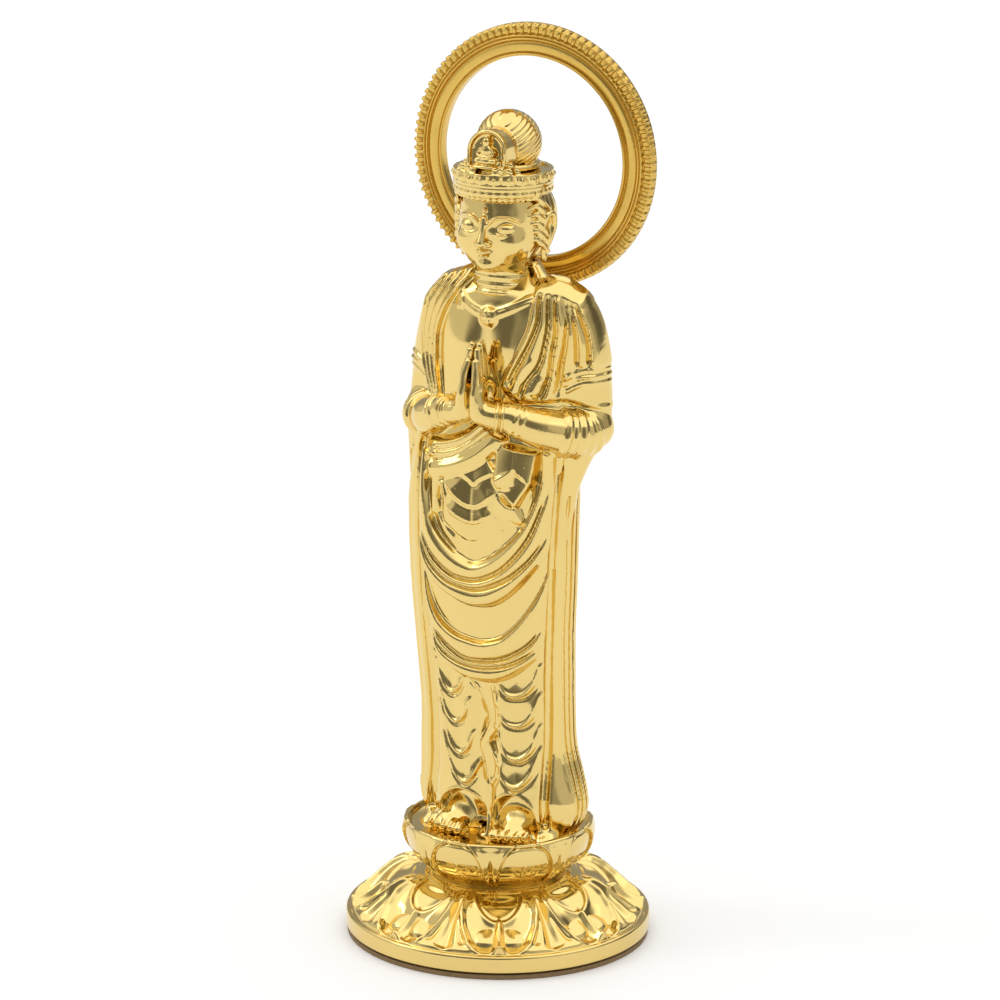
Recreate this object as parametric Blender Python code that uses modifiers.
"""Standing bodhisattva statuette on a lotus base, with a lift-off ring halo.

Run with: blender --background --python part.py
Metres, +Z up, the figure faces -Y. The origin is the centre of the base's underside.

How it comes apart: a screw from below pulls the robed figure and the lotus seat down
onto the plinth, a key stops the seat from turning, the head and the two hands are
castings of their own on tenons, and the halo's stem drops into a socket on the back.
"""

import math

import bmesh
import bpy
from mathutils import Vector

MM = 0.001

# Driving dimensions, in millimetres (every shape function turns them into metres).
FIT_GAP = 0.25  # between castings that seat on each other
PAD_THICKNESS = 0.5
PLINTH_RADIUS = 17.0
RIM_INNER_RADIUS = 14.8
RIM_TOP = 2.35
PLINTH_TOP = 7.1
PLINTH_PETALS = 8
PLINTH_TURN = 28.0  # degrees from the front to the nearest petal's middle
PETAL_RELIEF = 0.35
SEAT_RADIUS = 10.8
SEAT_FLOOR = 12.2
SEAT_RIM_TOP = 13.2
SEAT_PETALS = 16
SCREW_HOLE_RADIUS = 1.75
SCREW_RADIUS = 1.5
SCREW_TIP = 24.0
KEY_RADIUS = 0.6
KEY_AT = 5.2
ROBE_TOP = 75.2
NECK_RADIUS = 2.7
TENON_RADIUS = 1.45
TENON_DEPTH = 3.5
HALO_CENTRE_Y = 6.7
HALO_CENTRE_Z = 86.9
HALO_RADIUS = 14.6
HALO_HOLE_RADIUS = 11.05
HALO_THICKNESS = 1.5
STEM_WIDTH = 2.4
STEM_THICKNESS = 0.9
STEM_BOTTOM = 60.3
STEM_TOP = 75.4
SOCKET_TOP = 67.0
SOCKET_BOTTOM = 59.5
SOCKET_FRONT = 5.25  # the flat cut in the figure's back, plus the gap
SOCKET_SCREW_Z = 57.4

WRIST = Vector((3.9, -6.4, 60.6))
ELBOW = Vector((10.7, 0.9, 58.9))
SHOULDER = Vector((8.3, 1.3, 70.6))
WRIST_RADIUS = 1.45
HAND_TENON_RADIUS = 0.8
HAND_TENON_DEPTH = 2.2

# Half-sections of the robe from hem to collar: height, half width, front, back, squareness.
ROBE_SECTIONS = (
    (12.45, 7.7, -4.2, 4.5, 2.5),
    (16.0, 7.9, -4.4, 4.6, 2.5),
    (22.0, 8.1, -4.9, 4.7, 2.5),
    (30.0, 8.4, -5.5, 4.8, 2.4),
    (38.0, 8.7, -6.0, 4.9, 2.4),
    (46.0, 8.9, -6.3, 5.0, 2.3),
    (52.0, 8.7, -6.2, 5.0, 2.3),
    (58.0, 8.3, -5.4, 5.2, 2.3),
    (64.0, 8.8, -4.6, 5.5, 2.3),
    (69.0, 9.5, -4.1, 5.6, 2.2),
    (72.0, 9.0, -3.7, 5.4, 2.2),
    (74.0, 6.9, -3.1, 4.6, 2.1),
    (ROBE_TOP, 4.4, -2.6, 3.2, 2.0),
)


# ---------------------------------------------------------------- scene and materials


def clear_scene():
    for obj in list(bpy.data.objects):
        bpy.data.objects.remove(obj)


def new_collection(name):
    collection = bpy.data.collections.new(name)
    bpy.context.scene.collection.children.link(collection)
    return collection


def new_finish(name, colour, roughness, metallic):
    """A Principled material."""
    finish = bpy.data.materials.new(name)
    finish.use_nodes = True
    shader = finish.node_tree.nodes["Principled BSDF"]
    shader.inputs["Base Color"].default_value = (*colour, 1.0)
    shader.inputs["Roughness"].default_value = roughness
    shader.inputs["Metallic"].default_value = metallic
    return finish


clear_scene()
STATUE = new_collection("bodhisattva_statue")
CUTTERS = new_collection("cutters")
FINISHES = {
    "bright_gold": new_finish("bright_gold", (0.90, 0.66, 0.26), 0.12, 1.0),
    "satin_gold": new_finish("satin_gold", (0.74, 0.50, 0.15), 0.34, 1.0),
    "steel": new_finish("steel", (0.56, 0.57, 0.58), 0.30, 1.0),
    "felt": new_finish("felt", (0.10, 0.06, 0.04), 0.95, 0.0),
}


def new_body(name, at):
    """An empty that carries the parts of one rigid body."""
    empty = bpy.data.objects.new(name, None)
    empty.empty_display_size = 0.005
    empty.location = Vector(at) * MM
    STATUE.objects.link(empty)
    return empty


STATUE_BODY = new_body("statue_body", (0, 0, 0))
HALO_BODY = new_body("halo_body", (0, HALO_CENTRE_Y, SOCKET_TOP))
bpy.context.view_layer.update()


def place(obj, finish, body=STATUE_BODY):
    """Puts a part in the statue's collection with its finish, carried by its body's empty."""
    for collection in list(obj.users_collection):
        collection.objects.unlink(obj)
    STATUE.objects.link(obj)
    obj.parent = body
    obj.matrix_parent_inverse = body.matrix_world.inverted()
    obj.data.materials.clear()
    obj.data.materials.append(FINISHES[finish])
    return obj


def as_tool(obj):
    """Turns an object into a hidden Boolean tool."""
    for collection in list(obj.users_collection):
        collection.objects.unlink(obj)
    CUTTERS.objects.link(obj)
    obj.hide_render = True
    obj.display_type = "WIRE"
    return obj


def combine(target, tool, operation):
    """A Boolean of the target with one tool."""
    boolean = target.modifiers.new(f"{operation.lower()} {tool.name}", "BOOLEAN")
    boolean.operation = operation
    boolean.solver = "EXACT"
    boolean.object = as_tool(tool)
    return target


def shade_by_angle(obj, degrees=40):
    obj.data.shade_smooth()
    obj.data.set_sharp_from_angle(angle=math.radians(degrees))
    return obj


# ---------------------------------------------------------------- shape functions


def object_from(name, points, faces):
    """An object from points in millimetres and faces that a loft worked out."""
    mesh = bpy.data.meshes.new(name)
    mesh.from_pydata([Vector(p) * MM for p in points], [], faces)
    mesh.validate()
    obj = bpy.data.objects.new(name, mesh)
    bpy.context.scene.collection.objects.link(obj)
    return obj


def facing_out(obj):
    """Makes the faces of a closed mesh point outwards."""
    edit = bmesh.new()
    edit.from_mesh(obj.data)
    bmesh.ops.recalc_face_normals(edit, faces=edit.faces[:])
    edit.to_mesh(obj.data)
    edit.free()
    return obj


def grid_faces(rows, columns, closed_rows):
    """Quads between rows of points that close on themselves. closed_rows joins the last row to the first."""
    faces = []
    for i in range(rows if closed_rows else rows - 1):
        above = (i + 1) % rows
        for j in range(columns):
            beside = (j + 1) % columns
            faces.append((i * columns + j, i * columns + beside, above * columns + beside, above * columns + j))
    return faces


def petal_wave(angle, petals, turn):
    """0 in the groove between two petals, 1 along a petal's middle."""
    return 0.5 + 0.5 * math.cos(petals * (angle - turn))


def petalled_ring(name, loop, segments, petals, turn_degrees, relief):
    """A turned ring whose points swell at each petal: the loop gives radius, height and the share of the relief."""
    turn = math.radians(turn_degrees - 90)
    points = []
    for radius, height, share in loop:
        for j in range(segments):
            angle = 2 * math.pi * j / segments
            swell = relief * share * (petal_wave(angle, petals, turn) - 1)
            out = radius + swell
            points.append((out * math.cos(angle), out * math.sin(angle), height + 0.5 * swell))
    return facing_out(object_from(name, points, grid_faces(len(loop), segments, True)))


def loft(name, sections, segments):
    """A closed body through superellipse sections: height, half width, front y, back y, squareness."""
    points = []
    for height, half_width, front, back, power in sections:
        middle, depth = (front + back) / 2, (back - front) / 2
        for j in range(segments):
            c, s = (f(2 * math.pi * j / segments) for f in (math.cos, math.sin))
            x = half_width * math.copysign(abs(c) ** (2 / power), c)
            y = middle + depth * math.copysign(abs(s) ** (2 / power), s)
            points.append((x, y, height))
    faces = grid_faces(len(sections), segments, False)
    last = (len(sections) - 1) * segments
    faces.append(tuple(reversed(range(segments))))
    faces.append(tuple(range(last, last + segments)))
    return facing_out(object_from(name, points, faces))


def turned(name, profile, steps=32, at=(0, 0, 0)):
    """A profile of (radius, height) points turned about Z with a Screw modifier. It runs down the outside."""
    mesh = bpy.data.meshes.new(name)
    closed = all(radius > 0 for radius, _ in profile)
    edges = [(i, i + 1) for i in range(len(profile) - 1)]
    if closed:
        edges.append((len(profile) - 1, 0))
    mesh.from_pydata([(radius * MM, 0, height * MM) for radius, height in profile], edges, [])
    obj = bpy.data.objects.new(name, mesh)
    bpy.context.scene.collection.objects.link(obj)
    screw = obj.modifiers.new("turn", "SCREW")
    screw.steps = screw.render_steps = steps
    screw.use_merge_vertices = True
    screw.merge_threshold = 0.00001
    obj.location = Vector(at) * MM
    return obj


def disc_profile(radius, low, high):
    """The profile of a plain cylinder."""
    return [(0, high), (radius, high), (radius, low), (0, low)]


def rod(name, start, end, radius, vertices=24):
    """A cylinder between two points."""
    start, end = Vector(start), Vector(end)
    bpy.ops.mesh.primitive_cylinder_add(
        vertices=vertices, radius=radius * MM, depth=(end - start).length * MM, location=(start + end) / 2 * MM
    )
    obj = bpy.context.object
    obj.name = name
    obj.rotation_mode = "QUATERNION"
    obj.rotation_quaternion = (end - start).to_track_quat("Z", "Y")
    return obj


def block(name, low, high, round_edge=0.0):
    """A box between two corners, with an optional bevel."""
    low, high = Vector(low), Vector(high)
    bpy.ops.mesh.primitive_cube_add(size=1, location=(low + high) / 2 * MM)
    obj = bpy.context.object
    obj.name = name
    obj.scale = (high - low) * MM
    bpy.ops.object.transform_apply(location=False, rotation=False, scale=True)
    if round_edge:
        bevel = obj.modifiers.new("edges", "BEVEL")
        bevel.width = round_edge * MM
        bevel.segments = 2
    return obj


def ball(name, centre, radii, segments=20, rings=12):
    """An ellipsoid."""
    bpy.ops.mesh.primitive_uv_sphere_add(segments=segments, ring_count=rings, radius=1, location=Vector(centre) * MM)
    obj = bpy.context.object
    obj.name = name
    obj.scale = Vector(radii) * MM
    bpy.ops.object.transform_apply(location=False, rotation=False, scale=True)
    return obj


def limb(name, points, radii, sides=3):
    """A round limb of changing radius along a few points: a bevelled curve, made a mesh so that it can be joined."""
    curve = bpy.data.curves.new(name, "CURVE")
    curve.dimensions = "3D"
    curve.bevel_depth = MM
    curve.bevel_resolution = sides
    curve.use_fill_caps = True
    spline = curve.splines.new("POLY")
    spline.points.add(len(points) - 1)
    for point, place_at, radius in zip(spline.points, points, radii):
        point.co = (*(Vector(place_at) * MM), 1.0)
        point.radius = radius
    holder = bpy.data.objects.new(name, curve)
    bpy.context.scene.collection.objects.link(holder)
    bpy.context.view_layer.update()
    evaluated = holder.evaluated_get(bpy.context.evaluated_depsgraph_get())
    mesh = bpy.data.meshes.new_from_object(evaluated)
    edit = bmesh.new()
    edit.from_mesh(mesh)
    bmesh.ops.remove_doubles(edit, verts=edit.verts[:], dist=0.000001)
    bmesh.ops.recalc_face_normals(edit, faces=edit.faces[:])
    edit.to_mesh(mesh)
    edit.free()
    obj = bpy.data.objects.new(name, mesh)
    obj.matrix_world = holder.matrix_world
    bpy.data.objects.remove(holder)
    bpy.context.scene.collection.objects.link(obj)
    return obj


def on_side(point, side):
    """The point on the figure's left, side 1, or its mirror image on the right, side -1."""
    return Vector((point[0] * side, point[1], point[2]))


# ---------------------------------------------------------------- base


def make_base_pad():
    """A felt ring glued under the rim."""
    inner, outer = RIM_INNER_RADIUS + 0.2, PLINTH_RADIUS - 0.15
    profile = [(outer, PAD_THICKNESS), (outer, 0), (inner, 0), (inner, PAD_THICKNESS)]
    return place(turned("base_pad", profile, 64), "felt")


def make_plinth():
    """The dome with turned-down petals, cast hollow, on a plain rim, with a boss for the screw."""
    low = PAD_THICKNESS + FIT_GAP
    outside = [
        (SCREW_HOLE_RADIUS, PLINTH_TOP, 0),
        (8.3, PLINTH_TOP, 0),
        (8.8, 6.7, 0.2),
        (9.8, 6.5, 0.5),
        (11.3, 6.15, 0.8),
        (12.8, 5.6, 1.0),
        (14.1, 4.8, 1.0),
        (15.2, 3.85, 1.0),
        (16.0, 2.9, 0.7),
        (16.3, RIM_TOP, 0),
        (16.85, RIM_TOP, 0),
        (PLINTH_RADIUS, RIM_TOP - 0.15, 0),
        (PLINTH_RADIUS, low, 0),
    ]
    inside = [
        (RIM_INNER_RADIUS, low, 0),
        (RIM_INNER_RADIUS, 2.2, 0),
        (13.7, 3.3, 0),
        (12.2, 4.3, 0),
        (10.6, 4.9, 0),
        (8.6, 5.2, 0),
        (4.4, 5.2, 0),
        (4.2, 4.0, 0),
        (SCREW_HOLE_RADIUS, 4.0, 0),
    ]
    plinth = petalled_ring("plinth", outside + inside, 64, PLINTH_PETALS, PLINTH_TURN, PETAL_RELIEF)
    key_hole = rod("plinth_key_hole", (KEY_AT, 0, 5.6), (KEY_AT, 0, PLINTH_TOP + 1), KEY_RADIUS + FIT_GAP, 16)
    return place(shade_by_angle(combine(plinth, key_hole, "DIFFERENCE"), 35), "bright_gold")


def make_lotus_seat():
    """The cup of upright petals, with a shallow floor that the feet stand on."""
    foot = PLINTH_TOP + FIT_GAP
    loop = [
        (SCREW_HOLE_RADIUS, foot, 0),
        (SCREW_HOLE_RADIUS, SEAT_FLOOR, 0),
        (9.0, SEAT_FLOOR, 0),
        (9.5, SEAT_FLOOR + 0.4, 0),
        (9.9, SEAT_RIM_TOP - 0.15, 0),
        (10.35, SEAT_RIM_TOP, 0.3),
        (SEAT_RADIUS, 12.4, 0.7),
        (SEAT_RADIUS, 11.3, 1),
        (10.4, 10.1, 1),
        (9.6, 9.0, 1),
        (8.5, 8.0, 0.5),
        (7.5, foot, 0),
    ]
    seat = petalled_ring("lotus_seat", loop, 64, SEAT_PETALS, 0, 0.25)
    combine(seat, rod("seat_key_hole", (KEY_AT, 0, foot - 1), (KEY_AT, 0, 9.6), KEY_RADIUS + FIT_GAP, 16), "DIFFERENCE")
    for side in (-1, 1):
        hole = foot_tenon(f"seat_tenon_hole_{side}", side, SEAT_FLOOR - 1.9, SEAT_FLOOR + 1, HAND_TENON_RADIUS + 0.65)
        combine(seat, hole, "DIFFERENCE")
    return place(shade_by_angle(seat, 35), "bright_gold")


def make_seat_key():
    """The pin that stops the seat from turning on the plinth."""
    profile = disc_profile(KEY_RADIUS, 5.85, 9.3)
    return place(shade_by_angle(turned("seat_key", profile, 16, (KEY_AT, 0, 0))), "steel")


def make_base_washer():
    profile = [(3.3, 3.75), (3.3, 3.2), (1.75, 3.2), (1.75, 3.75)]
    return place(shade_by_angle(turned("base_washer", profile, 32)), "steel")


def make_base_screw():
    """The pan-head screw that clamps figure, seat and plinth, with a slot in its head."""
    profile = [
        (0, SCREW_TIP),
        (1.0, SCREW_TIP),
        (SCREW_RADIUS, SCREW_TIP - 0.6),
        (SCREW_RADIUS, 2.95),
        (2.7, 2.95),
        (2.7, 1.9),
        (2.2, 1.3),
        (0, 1.3),
    ]
    screw = turned("base_screw", profile, 24)
    slot = block("screw_slot", (-3.2, -0.35, 0.8), (3.2, 0.35, 1.9))
    return place(shade_by_angle(combine(screw, slot, "DIFFERENCE")), "steel")


# ---------------------------------------------------------------- figure


def foot_tenon(name, side, low, high, radius):
    return rod(name, (4.0 * side, -1.2, low), (4.0 * side, -1.2, high), radius, 16)


def arm(side):
    """Upper arm and forearm of one side, ending flat at the wrist."""
    inward = (WRIST - ELBOW).normalized()
    end = WRIST - inward * (FIT_GAP / 2)
    points = [
        on_side(p, side)
        for p in (
            SHOULDER + Vector((-2.5, -0.4, 2.0)),
            SHOULDER,
            SHOULDER.lerp(ELBOW, 0.5) + Vector((0.5, 0, 0)),
            ELBOW + Vector((0.0, 0, 1.6)),
            ELBOW + inward * 1.2,
            ELBOW.lerp(WRIST, 0.5),
            end,
        )
    ]
    return limb(f"arm_{side}", points, (2.0, 2.8, 2.7, 2.3, 2.25, 2.0, WRIST_RADIUS))


def stole(side):
    """The hanging end of the shawl, from the forearm to the seat, flaring at the foot."""
    points = ((8.6, -1.6, 58.5), (8.7, -1.9, 48), (8.5, -2.0, 36), (8.1, -1.8, 24), (8.4, -1.5, 17), (7.4, -1.2, 13))
    return limb(f"stole_{side}", [on_side(p, side) for p in points], (1.7, 1.7, 1.6, 1.55, 1.75, 1.2))


def forward_foot(side):
    points = ((4.0, 0.0, 14.0), (4.1, -4.0, 13.85), (4.2, -5.6, 13.35))
    return limb(f"foot_{side}", [on_side(p, side) for p in points], (1.35, 1.35, 0.8))


def swag(name, ends, low, depth, radius):
    """A curved fold that hangs across the skirt from side to side."""
    points = []
    for i in range(9):
        across = -1 + i / 4
        height = low + (ends - low) * across * across
        points.append((8.0 * across, depth * math.sqrt(1 - 0.72 * across * across), height))
    return limb(name, points, [radius] * len(points), 1)


def make_robe_body():
    """The robed figure, cast in one with its arms, stoles and feet."""
    body = loft("robe_body", ROBE_SECTIONS, 40)
    for side in (-1, 1):
        combine(body, arm(side), "UNION")
        combine(body, stole(side), "UNION")
        combine(body, forward_foot(side), "UNION")
        combine(body, foot_tenon(f"tenon_{side}", side, SEAT_FLOOR - 1.6, 14.0, HAND_TENON_RADIUS + 0.4), "UNION")
    combine(body, swag("upper_swag", 50.0, 41.5, -5.9, 0.95), "UNION")
    combine(body, swag("lower_swag", 41.0, 33.0, -5.6, 0.85), "UNION")

    combine(body, rod("screw_bore", (0, 0, 12.0), (0, 0, SCREW_TIP + 0.8), SCREW_HOLE_RADIUS), "DIFFERENCE")
    neck_low = ROBE_TOP - TENON_DEPTH - FIT_GAP
    combine(body, rod("neck_socket", (0, 0, neck_low), (0, 0, 77), TENON_RADIUS + FIT_GAP), "DIFFERENCE")
    for side in (-1, 1):
        inward = (WRIST - ELBOW).normalized()
        deep = on_side(WRIST - inward * (HAND_TENON_DEPTH + 2 * FIT_GAP), side)
        socket = rod(f"wrist_socket_{side}", deep, on_side(WRIST + inward, side), HAND_TENON_RADIUS + FIT_GAP, 16)
        combine(body, socket, "DIFFERENCE")
    seat_low, seat_high = SOCKET_SCREW_Z - 1.9, SOCKET_TOP + 0.4
    flat = block("bracket_seat", (-2.9, SOCKET_FRONT - FIT_GAP, seat_low), (2.9, 8, seat_high))
    combine(body, flat, "DIFFERENCE")
    screw_bore = rod("bracket_bore", (0, 2.1, SOCKET_SCREW_Z), (0, 7, SOCKET_SCREW_Z), 0.95, 16)
    combine(body, screw_bore, "DIFFERENCE")
    return place(shade_by_angle(body), "bright_gold")


def make_head():
    """Head, crown and topknot in one casting, with the neck's tenon below."""
    low = ROBE_TOP + FIT_GAP
    neck = [
        (0, 79),
        (NECK_RADIUS - 0.2, 79),
        (NECK_RADIUS, low),
        (TENON_RADIUS, low),
        (TENON_RADIUS, ROBE_TOP - TENON_DEPTH),
        (0, ROBE_TOP - TENON_DEPTH),
    ]
    head = turned("head", neck, 24)
    combine(head, ball("skull", (0, -0.2, 80.9), (4.6, 4.2, 4.9), 24, 14), "UNION")
    combine(head, ball("hair_back", (0, 0.7, 81.8), (5.0, 3.7, 4.7), 24, 12), "UNION")
    crown = loft("crown", ((84.1, 5.1, -4.4, 3.9, 2), (85.6, 5.3, -4.6, 4.1, 2), (87.6, 5.8, -5.0, 4.3, 2)), 32)
    combine(head, crown, "UNION")
    combine(head, ball("topknot", (0, 0.9, 89.7), (3.3, 3.1, 3.45), 20, 12), "UNION")
    plaque = loft(
        "plaque",
        ((86.9, 2.0, -4.6, -3.0, 3), (88.6, 2.35, -4.7, -3.1, 3), (90.4, 1.9, -4.7, -3.1, 3), (91.7, 0.7, -4.5, -3.2, 3)),
        20,
    )
    combine(head, plaque, "UNION")
    strut = block("plaque_root", (-1.3, -3.8, 87.0), (1.3, 0.5, 89.5))
    combine(head, strut, "UNION")
    for side in (-1, 1):
        combine(head, ball(f"ear_{side}", (4.75 * side, 0.3, 80.3), (0.65, 1.1, 3.0), 12, 8), "UNION")
    return place(shade_by_angle(head), "bright_gold")


def make_hand(name, side):
    """One hand of the pair held palm to palm, with its wrist and the tenon that enters the forearm."""
    inward = (WRIST - ELBOW).normalized()
    face = WRIST + inward * (FIT_GAP / 2)
    sections = (
        (60.0, 1.0, -8.4, -5.4, 2.6),
        (62.5, 1.05, -8.5, -5.3, 2.6),
        (65.0, 0.9, -8.2, -5.6, 2.6),
        (67.5, 0.75, -7.8, -5.9, 2.6),
        (69.2, 0.45, -7.3, -6.1, 2.4),
    )
    hand = loft(name, sections, 20)
    hand.location.x = side * (sections[1][1] + FIT_GAP / 2) * MM
    heel = Vector((1.4, -7.3, 61.3))
    bend = face + inward * 1.1
    wrist = limb(f"{name}_wrist", [on_side(p, side) for p in (heel, bend, face)], (1.1, 1.4, WRIST_RADIUS))
    combine(hand, wrist, "UNION")
    tenon = rod(
        f"{name}_tenon",
        on_side(WRIST - inward * HAND_TENON_DEPTH, side),
        on_side(WRIST + inward * 1.2, side),
        HAND_TENON_RADIUS,
        16,
    )
    combine(hand, tenon, "UNION")
    return place(shade_by_angle(hand), "bright_gold")


# ---------------------------------------------------------------- halo


def make_halo_socket():
    """The bracket on the back that the halo's stem drops into."""
    back = SOCKET_FRONT + 4.1
    socket = block("halo_socket", (-2.5, SOCKET_FRONT, SOCKET_BOTTOM), (2.5, back, SOCKET_TOP))
    tab = block("socket_tab", (-2.0, SOCKET_FRONT, SOCKET_SCREW_Z - 1.6), (2.0, SOCKET_FRONT + 1.2, SOCKET_BOTTOM + 1))
    combine(socket, tab, "UNION")
    low, high = stem_depth()
    slot = block(
        "stem_slot",
        (-STEM_WIDTH / 2 - FIT_GAP, low - FIT_GAP, STEM_BOTTOM - FIT_GAP),
        (STEM_WIDTH / 2 + FIT_GAP, high + FIT_GAP, SOCKET_TOP + 1),
    )
    combine(socket, slot, "DIFFERENCE")
    bore = rod("tab_bore", (0, SOCKET_FRONT - 1, SOCKET_SCREW_Z), (0, SOCKET_FRONT + 3, SOCKET_SCREW_Z), 0.95, 16)
    combine(socket, bore, "DIFFERENCE")
    return place(socket, "satin_gold")


def make_socket_screw():
    """The small screw through the bracket's tab."""
    screw_head = SOCKET_FRONT + 1.2 + FIT_GAP
    screw = turned(
        "socket_screw",
        [(0, 0.9), (0.9, 0.9), (1.35, 0.5), (1.35, 0), (0.7, 0), (0.7, -4.2), (0, -4.2)],
        20,
        (0, screw_head, SOCKET_SCREW_Z),
    )
    screw.rotation_euler.x = -math.pi / 2
    return place(shade_by_angle(screw), "steel")


def stem_depth():
    """The stem's front and back faces, just behind the ring."""
    front = HALO_CENTRE_Y + HALO_THICKNESS / 2 + FIT_GAP
    return front, front + STEM_THICKNESS


def make_halo_ring():
    """The ring of light: a stepped face with a raised inner lip and a chamfered edge."""
    half = HALO_THICKNESS / 2
    profile = [
        (13.6, half),
        (14.1, half - 0.05),
        (HALO_RADIUS, 0.25),
        (HALO_RADIUS, -half),
        (HALO_HOLE_RADIUS, -half),
        (HALO_HOLE_RADIUS, half - 0.1),
        (11.4, half - 0.1),
        (11.5, half - 0.3),
        (12.7, half - 0.3),
        (12.9, half),
        (13.2, half),
        (13.4, half - 0.3),
    ]
    ring = turned("halo_ring", profile, 96, (0, HALO_CENTRE_Y, HALO_CENTRE_Z))
    ring.rotation_euler.x = math.pi / 2
    return place(shade_by_angle(ring), "satin_gold", HALO_BODY)


def make_halo_stem():
    """The flat strip riveted behind the ring."""
    low, high = stem_depth()
    half = STEM_WIDTH / 2
    stem = block("halo_stem", (-half, low, STEM_BOTTOM), (half, high, STEM_TOP), 0.15)
    return place(stem, "satin_gold", HALO_BODY)


def make_halo_rivet(name, x):
    """A rivet head on the stem's back."""
    _, back = stem_depth()
    rivet = turned(name, [(0, 0.35), (0.25, 0.3), (0.42, 0.12), (0.45, 0), (0, 0)], 16)
    rivet.location = Vector((x, back + FIT_GAP, 74.2)) * MM
    rivet.rotation_euler.x = -math.pi / 2
    return place(shade_by_angle(rivet), "satin_gold", HALO_BODY)


make_base_pad()
make_plinth()
make_lotus_seat()
make_seat_key()
make_base_washer()
make_base_screw()
make_robe_body()
make_head()
make_hand("right_hand", -1)
make_hand("left_hand", 1)
make_halo_socket()
make_socket_screw()
make_halo_ring()
make_halo_stem()
make_halo_rivet("halo_rivet_right", -0.65)
make_halo_rivet("halo_rivet_left", 0.65)
